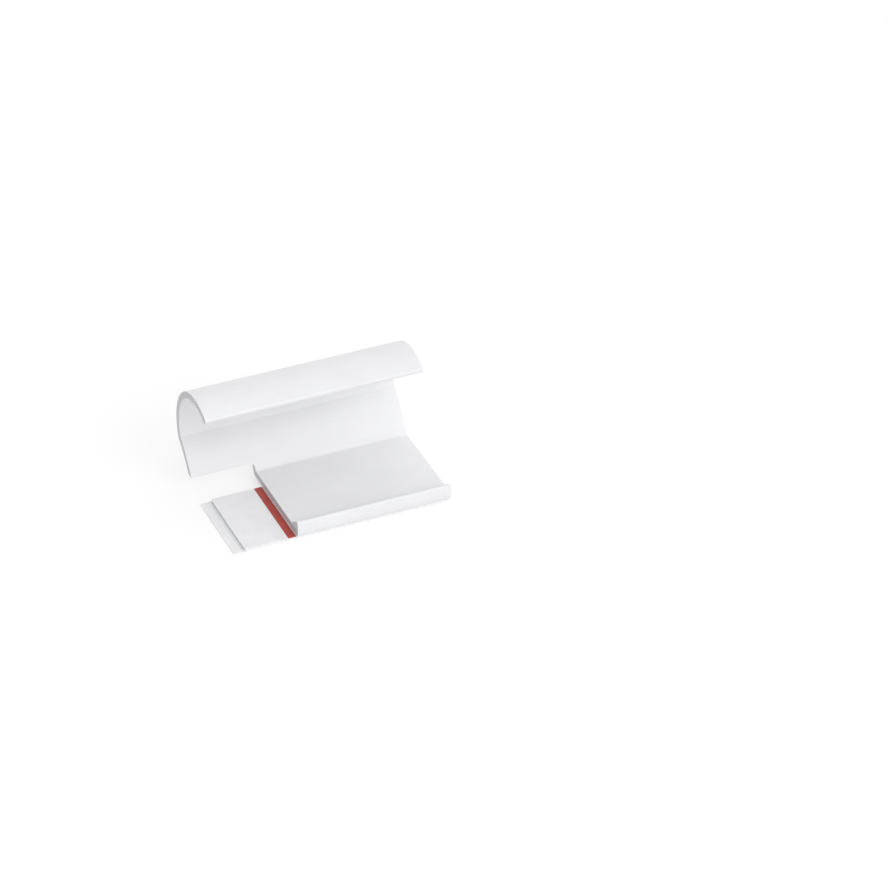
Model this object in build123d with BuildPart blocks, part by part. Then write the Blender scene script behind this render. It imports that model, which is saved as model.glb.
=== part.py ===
from build123d import *
import os
from math import cos, radians, sin

# An adhesive cable clip with its lid open, in millimetres and degrees.
# X runs along the extrusion, +Y points from the lip back to the hinge, and +Z points up.
# The origin is the middle of the flat underside that is pressed onto the wall or desk.

os.makedirs("parts", exist_ok=True)

# Extruded profile
clip_length = 50.0
wall = 1.5
base_depth = 25.0
root_radius = 0.6
hinge_corner_radius = 0.4
tip_radius = 0.45

# Lip along the front edge of the base: a bulged upright, hooked inward and down at its top
lip_height = 3.75
lip_bulge = 0.4
lip_reach = 2.6
lip_droop = 1.6
lip_root = 1.45
lip_edge = 0.35
lip_crown_radius = 0.4
lip_foot_radius = 0.3
hook_radius = 0.15

# Spring wall: it leaves the base at the hinge corner and bends outward up to the shoulder
hinge_angle = 66.0
spring_radius = 24.0
spring_angle = 27.0
shoulder_inner_radius = 0.5
shoulder_angle = 33.7

# Curled lid: back and front, each an arc that runs on from the one before
lid_back_radius = 12.6
lid_back_angle = 71.4
lid_front_radius = 11.6
lid_front_angle = 69.2

# Notch punched out of the left end, which leaves the pull tab within reach
notch_length = 14.5
notch_height = 3.1
notch_corner_radius = 0.8
cutter_margin = 1.0

# Stretch-release strip, its liner, and what lies on its pull tab
strip_width = 20.0
strip_thickness = 0.45
liner_thickness = 0.15
liner_margin = 2.5
film_thickness = 0.1
band_width = 1.8
band_thickness = 0.12
band_clearance = 0.3
sheet_corner_radius = 0.5

# Largest share of a wall or an edge that the radius on it may take
edge_radius_ratio = 0.45

# Places that follow from the sizes
left_x = -clip_length / 2
front_y = -strip_width / 2
hinge_y = front_y + base_depth
base_z = liner_thickness + strip_thickness
lip_z = base_z + lip_height
notch_z = base_z + notch_height
cut_x = left_x + notch_length
tab_x = left_x + liner_margin
band_x = cut_x - band_clearance - band_width


def corner(y, z):
    """The corner of the open sketch that lies nearest to a place in the section."""
    return vertices().sort_by_distance((y, z))[0]


# The whole clip is one extrusion: base, lip, spring wall and lid
with BuildPart() as clip_profile:
    with BuildSketch(Plane.YZ.offset(left_x)):
        # Base, from the lip's outer face to the hinge corner
        with Locations((front_y, base_z)):
            Rectangle(base_depth, wall, align=(Align.MIN, Align.MIN))
        # Lip: a bulged upright with a tapered hook that droops inward over the base
        with BuildLine():
            ThreePointArc(
                (front_y, base_z),
                (front_y - lip_bulge, base_z + lip_height / 2),
                (front_y, lip_z),
            )
            Polyline(
                (front_y, lip_z),
                (front_y + lip_reach, lip_z - lip_droop),
                (front_y + lip_reach, lip_z - lip_droop - lip_edge),
                (front_y + wall, lip_z - lip_root),
                (front_y + wall, base_z),
                (front_y, base_z),
            )
        make_face()
        # Spring wall and lid: a chain of tangent arcs along the outside, thickened inward
        with BuildLine():
            spring = JernArc(
                start=(hinge_y, base_z),
                tangent=(cos(radians(hinge_angle)), sin(radians(hinge_angle))),
                radius=spring_radius,
                arc_size=-spring_angle,
            )
            shoulder = JernArc(spring @ 1, spring % 1, shoulder_inner_radius + wall, shoulder_angle)
            lid_back = JernArc(shoulder @ 1, shoulder % 1, lid_back_radius, lid_back_angle)
            lid_front = JernArc(lid_back @ 1, lid_back % 1, lid_front_radius, lid_front_angle)
            offset(amount=wall, side=Side.LEFT)
        make_face()
        # Rounded edges of the section, none larger than the wall allows
        lid_tip = vertices().sort_by_distance(lid_front @ 1)[:2]
        fillet(lid_tip, min(tip_radius, wall * edge_radius_ratio))
        fillet(corner(hinge_y - wall, base_z + wall), root_radius)
        fillet(corner(hinge_y, base_z), hinge_corner_radius)
        fillet(corner(front_y, base_z), min(lip_foot_radius, lip_height * edge_radius_ratio))
        fillet(corner(front_y, lip_z), lip_crown_radius)
        hook_edge = vertices().sort_by_distance((front_y + lip_reach, lip_z - lip_droop - lip_edge / 2))[:2]
        fillet(hook_edge, min(hook_radius, lip_edge * edge_radius_ratio))
        fillet(corner(front_y + wall, lip_z - lip_root), hook_radius)
        fillet(corner(front_y + wall, base_z + wall), hook_radius)
    extrude(amount=clip_length)
    # Notch from front to back, through the base and the foot of the spring wall
    with BuildSketch(Plane.XZ):
        with Locations((left_x, 0)):
            Rectangle(notch_length, notch_z, align=(Align.MIN, Align.MIN))
        fillet(vertices().group_by(Axis.Y)[-1].sort_by(Axis.X)[-1], notch_corner_radius)
    extrude(amount=base_depth, both=True, mode=Mode.SUBTRACT)
    # The lip, which stands higher than the notch, is cut off square over the same length
    with BuildSketch(Plane.XZ):
        with Locations((left_x, 0)):
            Rectangle(notch_length, lip_z + cutter_margin, align=(Align.MIN, Align.MIN))
    extrude(amount=base_depth, mode=Mode.SUBTRACT)
clip_profile.part.label = "clip_profile"

# Release liner: the thin sheet under the strip, with a margin to peel it by
with BuildPart() as release_liner:
    with BuildSketch():
        RectangleRounded(clip_length, strip_width, sheet_corner_radius)
    extrude(amount=liner_thickness)
release_liner.part.label = "release_liner"

# Stretch-release strip: it fills the space under the base and runs out into the notch
with BuildPart() as adhesive_strip:
    with BuildSketch(Plane.XY.offset(liner_thickness)):
        with Locations((tab_x, 0)):
            RectangleRounded(
                clip_length - liner_margin,
                strip_width,
                sheet_corner_radius,
                align=(Align.MIN, Align.CENTER),
            )
    extrude(amount=strip_thickness)
adhesive_strip.part.label = "adhesive_strip"

# Film over the pull tab, from the tab's end to the band, so that it can be held
with BuildPart() as tab_film:
    with BuildSketch(Plane.XY.offset(base_z)):
        with Locations((tab_x, 0)):
            Rectangle(band_x - tab_x, strip_width, align=(Align.MIN, Align.CENTER))
        fillet(vertices().group_by(Axis.X)[0], sheet_corner_radius)
    extrude(amount=film_thickness)
tab_film.part.label = "tab_film"

# Red band across the tab, between the film and the cut end of the base
with BuildPart() as red_band:
    with BuildSketch(Plane.XY.offset(base_z)):
        with Locations((band_x, 0)):
            Rectangle(band_width, strip_width, align=(Align.MIN, Align.CENTER))
    extrude(amount=band_thickness)
red_band.part.label = "red_band"

export_step(clip_profile.part, "parts/clip_profile.step")
export_step(release_liner.part, "parts/release_liner.step")
export_step(adhesive_strip.part, "parts/adhesive_strip.step")
export_step(tab_film.part, "parts/tab_film.step")
export_step(red_band.part, "parts/red_band.step")
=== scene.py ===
"""The looks of an open adhesive cable clip: its plastics, films and strip, a studio and a camera.

Everything is in metres, in the frame of the solids: X along the extrusion, Y from the lip back to
the hinge, and Z up from the surface that the clip is stuck to. Angles are in degrees, and colours
are linear.
"""
import logging
from dataclasses import dataclass, field
from enum import Enum
from math import cos, pi, radians, sin
from typing import Union

import bmesh
import bpy
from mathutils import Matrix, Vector

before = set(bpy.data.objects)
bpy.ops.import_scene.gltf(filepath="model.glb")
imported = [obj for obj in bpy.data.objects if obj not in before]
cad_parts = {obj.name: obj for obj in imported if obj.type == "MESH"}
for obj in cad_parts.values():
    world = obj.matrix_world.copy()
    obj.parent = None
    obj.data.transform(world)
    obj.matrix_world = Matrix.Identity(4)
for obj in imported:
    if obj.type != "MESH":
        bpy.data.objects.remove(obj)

log = logging.getLogger("cable_clip")

Pair = tuple[float, float]
Triple = tuple[float, float, float]
Socket = bpy.types.NodeSocket
Feed = Union[Socket, float, tuple]

MM = 0.001
WHITE = (1.0, 1.0, 1.0)


class Lay(Enum):
    """Which way the fine marks of a surface run: how close together they lie along X, Y and Z."""

    ALONG = (0.02, 1.0, 1.0)
    ACROSS = (1.0, 0.02, 1.0)
    EVEN = (1.0, 1.0, 1.0)


class Span(Enum):
    """The stretch of values that matters: of one noise, of two blended ones, or of a facing."""

    NOISE = (0.35, 0.65)
    BLENDED_NOISE = (0.4, 0.6)
    FACING = (0.7, 0.95)


class Mix(Enum):
    """What a Mix node blends: its data type, and the places of its two inputs and its output."""

    NUMBERS = ("FLOAT", 2, 3, 0)
    COLOURS = ("RGBA", 6, 7, 2)


def rgba(colour: Triple, share: float = 1.0) -> tuple[float, float, float, float]:
    """A colour darkened to a share of itself, with its alpha."""
    return tuple(part * share for part in colour) + (1.0,)


class Nodes:
    """A node tree, with short ways to add and join its nodes."""

    def __init__(self, tree: bpy.types.NodeTree) -> None:
        """Takes a tree with whatever it holds."""
        self.tree = tree

    def add(self, kind: str) -> bpy.types.Node:
        """Adds a node of the given type."""
        return self.tree.nodes.new(kind)

    def feed(self, socket: Socket, value: Feed) -> None:
        """Joins an output to an input, or writes a constant on it.

        Args:
            socket: the input.
            value: another node's output, a number or a colour.
        """
        if isinstance(value, bpy.types.NodeSocket):
            self.tree.links.new(value, socket)
        else:
            socket.default_value = value

    def place(self, kind: str) -> Socket:
        """The place or facing of each point, as one output of the Texture Coordinate node."""
        return self.add("ShaderNodeTexCoord").outputs[kind]

    def x_of(self, vector: Socket) -> Socket:
        """A vector's part along X.

        Args:
            vector: the vector.

        Returns:
            The part's socket.
        """
        node = self.add("ShaderNodeSeparateXYZ")
        self.feed(node.inputs["Vector"], vector)
        return node.outputs["X"]

    def math(self, operation: str, first: Feed, second: Feed = 0.0) -> Socket:
        """One step of arithmetic.

        Args:
            operation: the Math node's operation.
            first: its first value.
            second: its second value.

        Returns:
            The result's socket.
        """
        node = self.add("ShaderNodeMath")
        node.operation = operation
        self.feed(node.inputs[0], first)
        self.feed(node.inputs[1], second)
        return node.outputs[0]

    def ramp(self, value: Socket, span: Pair, becomes: Pair = (0.0, 1.0)) -> Socket:
        """Carries a value from one range to another, clamped.

        Args:
            value: the value.
            span: the range's start and end.
            becomes: what its start and end turn into.

        Returns:
            The result's socket.
        """
        node = self.add("ShaderNodeMapRange")
        for name, number in zip(("From Min", "From Max", "To Min", "To Max"), span + becomes):
            node.inputs[name].default_value = number
        self.feed(node.inputs["Value"], value)
        return node.outputs["Result"]

    def blend(self, share: Feed, first: Feed, second: Feed, mix: Mix = Mix.COLOURS) -> Socket:
        """Blends two colours or two numbers.

        Args:
            share: how much of the second one shows.
            first: the first one.
            second: the second one.
            mix: whether they are colours or numbers.

        Returns:
            The blend's socket.
        """
        kind, first_input, second_input, output = mix.value
        node = self.add("ShaderNodeMix")
        node.data_type = kind
        self.feed(node.inputs["Factor"], share)
        self.feed(node.inputs[first_input], first)
        self.feed(node.inputs[second_input], second)
        return node.outputs[output]

    def seen(self) -> Socket:
        """Tells the rays that show a backdrop, straight or reflected, from those that carry its light.

        Returns:
            A socket that holds 1 for the rays that show it, and 0 for the others.
        """
        ray = self.add("ShaderNodeLightPath")
        shown = self.math("MAXIMUM", ray.outputs["Is Camera Ray"], ray.outputs["Is Glossy Ray"])
        return self.math("MAXIMUM", shown, ray.outputs["Is Transmission Ray"])


class Shader(Nodes):
    """The nodes of one material, with a single Principled shader."""

    def __init__(self, name: str) -> None:
        """Starts the material.

        Args:
            name: the material's name.
        """
        self.material = bpy.data.materials.new(name)
        self.material.use_nodes = True
        super().__init__(self.material.node_tree)
        self.tree.nodes.clear()
        self.surface = self.add("ShaderNodeBsdfPrincipled")
        output = self.add("ShaderNodeOutputMaterial")
        self.feed(output.inputs["Surface"], self.surface.outputs["BSDF"])

    def set(self, **values: Feed) -> None:
        """Feeds the shader's inputs, which are named with underscores for their spaces."""
        for name, value in values.items():
            self.feed(self.surface.inputs[name.replace("_", " ")], value)

    def noise(self, size: float, lay: Lay = Lay.EVEN, detail: float = 2.0) -> Socket:
        """Noise in the object's own space.

        Args:
            size: about how wide one mark is.
            lay: which way the marks run.
            detail: how many finer layers it has.

        Returns:
            The socket of the noise's value.
        """
        scale = self.add("ShaderNodeMapping")
        scale.inputs["Scale"].default_value = tuple(part / size for part in lay.value)
        self.feed(scale.inputs["Vector"], self.place("Object"))
        node = self.add("ShaderNodeTexNoise")
        node.inputs["Scale"].default_value = 1.0
        node.inputs["Detail"].default_value = detail
        self.feed(node.inputs["Vector"], scale.outputs["Vector"])
        return node.outputs["Fac"]

    def mottle(self, marks: Socket, span: Span, tint: Triple, shade: float) -> Socket:
        """A tint that darkens with its marks.

        Args:
            marks: the noise that it follows.
            span: the stretch of the noise over which it darkens.
            tint: the colour where it is palest.
            shade: the share of it that is left where it is darkest.

        Returns:
            The colour's socket.
        """
        return self.blend(self.ramp(marks, span.value), rgba(tint), rgba(tint, shade))

    def facing_ends(self) -> Socket:
        """How squarely a point faces along the extrusion, from 0 on its sides to 1 on a cut end."""
        return self.ramp(self.math("ABSOLUTE", self.x_of(self.place("Normal"))), Span.FACING.value)

    def relief(self, height: Socket, depth: float, strength: float) -> None:
        """Gives the surface a fine relief.

        Args:
            height: the relief, from 0 to 1.
            depth: how deep the whole of it is.
            strength: how much of it shows.
        """
        node = self.add("ShaderNodeBump")
        node.inputs["Strength"].default_value = strength
        node.inputs["Distance"].default_value = depth
        self.feed(node.inputs["Height"], height)
        self.set(Normal=node.outputs["Normal"])


@dataclass(frozen=True)
class ExtrudedPlastic:
    """Satin plastic from an extruder: faint lines along its length, dull saw marks and painted shade
    on its ends.
    """

    name: str
    tint: Triple
    shade: float = 0.973
    line_width: float = 0.45 * MM
    line_detail: float = 3.0
    line_depth: float = 0.006 * MM
    cloud_size: float = 9 * MM
    cloud_share: float = 0.65
    roughness: Pair = (0.34, 0.46)
    # Painted shade: how much darker the cut ends' colour is made than the sides' colour.
    end_painted_shade: float = 0.91
    end_roughness: Pair = (0.62, 0.72)
    saw_mark: float = 0.14 * MM
    saw_detail: float = 3.0
    relief_strength: float = 0.35
    ior: float = 1.46

    def make(self) -> bpy.types.Material:
        """Makes the material.

        Returns:
            The material.
        """
        shader = Shader(self.name)
        ends = shader.facing_ends()
        lines = shader.noise(self.line_width, Lay.ALONG, self.line_detail)
        clouds = shader.noise(self.cloud_size)
        saw = shader.noise(self.saw_mark, Lay.ACROSS, self.saw_detail)
        streaks = shader.blend(self.cloud_share, lines, clouds, Mix.NUMBERS)
        # Painted shade: the cut ends' colour is darkened to a share of the tint, on top of their real
        # saw marks.
        painted_end_tint = rgba(self.tint, self.end_painted_shade)[:3]
        sides = shader.mottle(streaks, Span.BLENDED_NOISE, self.tint, self.shade)
        cut = shader.mottle(saw, Span.NOISE, painted_end_tint, self.shade)
        smooth = shader.ramp(lines, Span.NOISE.value, self.roughness)
        rough = shader.ramp(saw, Span.NOISE.value, self.end_roughness)
        shader.set(
            Base_Color=shader.blend(ends, sides, cut),
            Roughness=shader.blend(ends, smooth, rough, Mix.NUMBERS),
            IOR=self.ior,
        )
        marks = shader.blend(ends, lines, saw, Mix.NUMBERS)
        shader.relief(marks, self.line_depth, self.relief_strength)
        return shader.material


@dataclass(frozen=True)
class StripRubber:
    """Stretchy strip: a matt, slightly pebbled rubbery foam."""

    name: str
    tint: Triple
    shade: float = 0.93
    pebble: float = 0.16 * MM
    pebble_detail: float = 3.0
    pebble_depth: float = 0.02 * MM
    drift: float = 4.8 * MM
    drift_share: float = 0.5
    roughness: Pair = (0.55, 0.75)
    relief_strength: float = 0.3
    ior: float = 1.42

    def make(self) -> bpy.types.Material:
        """Makes the material.

        Returns:
            The material.
        """
        shader = Shader(self.name)
        pebbles = shader.noise(self.pebble, detail=self.pebble_detail)
        patches = shader.blend(self.drift_share, pebbles, shader.noise(self.drift), Mix.NUMBERS)
        shader.set(
            Base_Color=shader.mottle(patches, Span.BLENDED_NOISE, self.tint, self.shade),
            Roughness=shader.ramp(pebbles, Span.NOISE.value, self.roughness),
            IOR=self.ior,
        )
        shader.relief(pebbles, self.pebble_depth, self.relief_strength)
        return shader.material


@dataclass(frozen=True)
class ThinFilm:
    """Smooth film or coated paper: glossier than the plastic, and never quite flat."""

    name: str
    tint: Triple
    shade: float = 0.95
    grain: float = 0.3 * MM
    grain_detail: float = 4.0
    ripple: float = 3.5 * MM
    ripple_detail: float = 1.0
    ripple_share: float = 0.75
    ripple_depth: float = 0.03 * MM
    roughness: Pair = (0.33, 0.38)
    relief_strength: float = 0.4
    ior: float = 1.49

    def make(self) -> bpy.types.Material:
        """Makes the material.

        Returns:
            The material.
        """
        shader = Shader(self.name)
        grain = shader.noise(self.grain, detail=self.grain_detail)
        ripple = shader.noise(self.ripple, detail=self.ripple_detail)
        patches = shader.blend(self.ripple_share, grain, ripple, Mix.NUMBERS)
        shader.set(
            Base_Color=shader.mottle(patches, Span.BLENDED_NOISE, self.tint, self.shade),
            Roughness=shader.ramp(grain, Span.NOISE.value, self.roughness),
            IOR=self.ior,
        )
        shader.relief(ripple, self.ripple_depth, self.relief_strength)
        return shader.material


Finish = Union[ExtrudedPlastic, StripRubber, ThinFilm]

CLIP_PLASTIC = ExtrudedPlastic("extruded_white_plastic", (0.86, 0.862, 0.876))
STRIP_FOAM = StripRubber("stretch_strip_foam", (0.91, 0.912, 0.92), shade=0.95)
TAB_FILM = ThinFilm("tab_film", (0.93, 0.932, 0.945), shade=0.965)
LINER_FILM = ThinFilm("liner_film", (0.93, 0.932, 0.94), shade=0.97, ripple=6 * MM)
BAND_FILM = ThinFilm("red_band_film", (0.5, 0.056, 0.04), shade=0.86, ripple_depth=0.01 * MM)


def dress(node: str, finish: Finish) -> bpy.types.Object:
    """Puts a finish on a solid that is shown as it is.

    Args:
        node: the solid's name.
        finish: its finish.

    Returns:
        The solid's object.
    """
    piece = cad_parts[node]
    for place in piece.material_slots:
        place.material = finish.make()
    return piece


@dataclass
class ClipProfile:
    """The clip: base, hooked lip, spring wall and curled lid in one extrusion."""

    node: str = "clip_profile"
    finish: Finish = CLIP_PLASTIC

    def dress(self) -> list[bpy.types.Object]:
        """Gives the extrusion its satin plastic, and returns it in a list."""
        return [dress(self.node, self.finish)]


@dataclass
class StretchStrip:
    """The stretch-release strip with its liner, and the film and red band on its pull tab."""

    finishes: dict[str, Finish] = field(
        default_factory=lambda: {
            "adhesive_strip": STRIP_FOAM,
            "release_liner": LINER_FILM,
            "tab_film": TAB_FILM,
            "red_band": BAND_FILM,
        }
    )

    def dress(self) -> list[bpy.types.Object]:
        """Gives each layer of the strip its finish, and returns the layers."""
        return [dress(node, finish) for node, finish in self.finishes.items()]


@dataclass
class SoftLamp:
    """A square soft lamp that faces the clip.

    Its azimuth turns from the lip's side toward the right end, and its elevation rises from the floor.
    Its level is the share of full white that it gives to a white surface facing it.
    """

    name: str
    azimuth: float
    elevation: float
    level: float
    side: float = 0.9
    distance: float = 1.2

    def build(self, target: Vector) -> bpy.types.Object:
        """Makes the lamp.

        Args:
            target: the place that it faces.

        Returns:
            The lamp's object.
        """
        turn, tilt = radians(self.azimuth), radians(self.elevation)
        away = Vector((sin(turn) * cos(tilt), -cos(turn) * cos(tilt), sin(tilt)))
        light = bpy.data.lights.new(self.name, "AREA")
        light.shape = "SQUARE"
        light.size = self.side
        light.energy = self.level * (pi * self.distance) ** 2
        lamp = bpy.data.objects.new(self.name, light)
        lamp.location = target + away * self.distance
        lamp.rotation_euler = away.to_track_quat("Z", "Y").to_euler()
        bpy.context.scene.collection.objects.link(lamp)
        return lamp


@dataclass
class Studio:
    """A plain pale floor in an even, soft light.

    The sky's light is at its full level except toward the left, where it fades out over the stretch
    of directions that dim_side gives by their X parts. The floor has a tint for the light that it
    throws back, and another with a glow, which together are white, for where it is seen.
    """

    target: Vector = field(default_factory=lambda: Vector((0.0, 0.005, 0.01)))
    sky_level: float = 1.06
    sky_seen_level: float = 1.0
    dim_side: Pair = (-0.95, -0.15)
    floor_side: float = 3.0
    floor_drop: float = 0.02 * MM
    floor_tint: Triple = (0.9, 0.9, 0.905)
    floor_seen_tint: Triple = (0.5, 0.5, 0.5)
    floor_glow: float = 0.54
    floor_roughness: float = 0.9
    lamps: tuple[SoftLamp, ...] = (SoftLamp("key_lamp", azimuth=26, elevation=28, level=0.25),)

    def floor_material(self) -> bpy.types.Material:
        """Makes the floor's matt material.

        Returns:
            The material.
        """
        shader = Shader("pale_floor")
        seen = shader.seen()
        shader.set(
            Base_Color=shader.blend(seen, rgba(self.floor_tint), rgba(self.floor_seen_tint)),
            Roughness=self.floor_roughness,
            Specular_IOR_Level=0.0,
            Emission_Color=rgba(WHITE),
            Emission_Strength=shader.math("MULTIPLY", seen, self.floor_glow),
        )
        return shader.material

    def build_floor(self) -> bpy.types.Object:
        """Makes the floor, a hair below the liner.

        Returns:
            The floor's object.
        """
        mesh = bpy.data.meshes.new("floor")
        shape = bmesh.new()
        bmesh.ops.create_grid(shape, x_segments=1, y_segments=1, size=self.floor_side / 2)
        shape.to_mesh(mesh)
        shape.free()
        mesh.materials.append(self.floor_material())
        floor = bpy.data.objects.new("floor", mesh)
        floor.location.z = -self.floor_drop
        bpy.context.scene.collection.objects.link(floor)
        return floor

    def build_sky(self) -> bpy.types.World:
        """Makes the light from all round, which is white where it is seen.

        Returns:
            The world.
        """
        world = bpy.data.worlds.new("soft_studio")
        bpy.context.scene.world = world
        world.use_nodes = True
        nodes = Nodes(world.node_tree)
        light = nodes.ramp(nodes.x_of(nodes.place("Generated")), self.dim_side, (0.0, self.sky_level))
        background = world.node_tree.nodes["Background"]
        nodes.feed(background.inputs["Color"], rgba(WHITE))
        level = nodes.blend(nodes.seen(), light, self.sky_seen_level, Mix.NUMBERS)
        nodes.feed(background.inputs["Strength"], level)
        return world

    def build(self) -> list[str]:
        """Makes the floor, the sky and the lamps.

        Returns:
            The names of what was made.
        """
        made = [self.build_floor().name, self.build_sky().name]
        made += [lamp.build(self.target).name for lamp in self.lamps]
        bpy.context.scene.view_settings.view_transform = "Standard"
        return made


@dataclass
class PhotoCamera:
    """The camera: the way it looks, where it stands, and its lens and sensor in millimetres.

    Its azimuth turns to the left from straight along Y, and its elevation is how far it looks down.
    """

    azimuth: float = -23.42
    elevation: float = 34.40
    place: Triple = (-0.29545, -0.74617, 0.56447)
    lens: float = 185.03
    sensor: float = 36.0
    nearest: float = 10 * MM

    def build(self) -> bpy.types.Object:
        """Makes the scene's camera.

        Returns:
            The camera's object.
        """
        data = bpy.data.cameras.new("photo_camera")
        data.sensor_width = self.sensor
        data.lens = self.lens
        data.clip_start = self.nearest
        camera = bpy.data.objects.new("photo_camera", data)
        camera.location = self.place
        camera.rotation_euler = (radians(90 - self.elevation), 0.0, radians(self.azimuth))
        bpy.context.scene.collection.objects.link(camera)
        bpy.context.scene.camera = camera
        return camera


def main() -> None:
    """Builds the camera, the studio and the finishes, and reports each."""
    logging.basicConfig(level=logging.INFO, format="%(name)s: %(message)s")
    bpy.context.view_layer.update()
    log.info("camera: %s", PhotoCamera().build().name)
    log.info("studio: %s", ", ".join(Studio().build()))
    for assembly in (ClipProfile(), StretchStrip()):
        for piece in assembly.dress():
            log.info("%s: %s", type(assembly).__name__, piece.name)


if __name__ == "__main__":
    main()
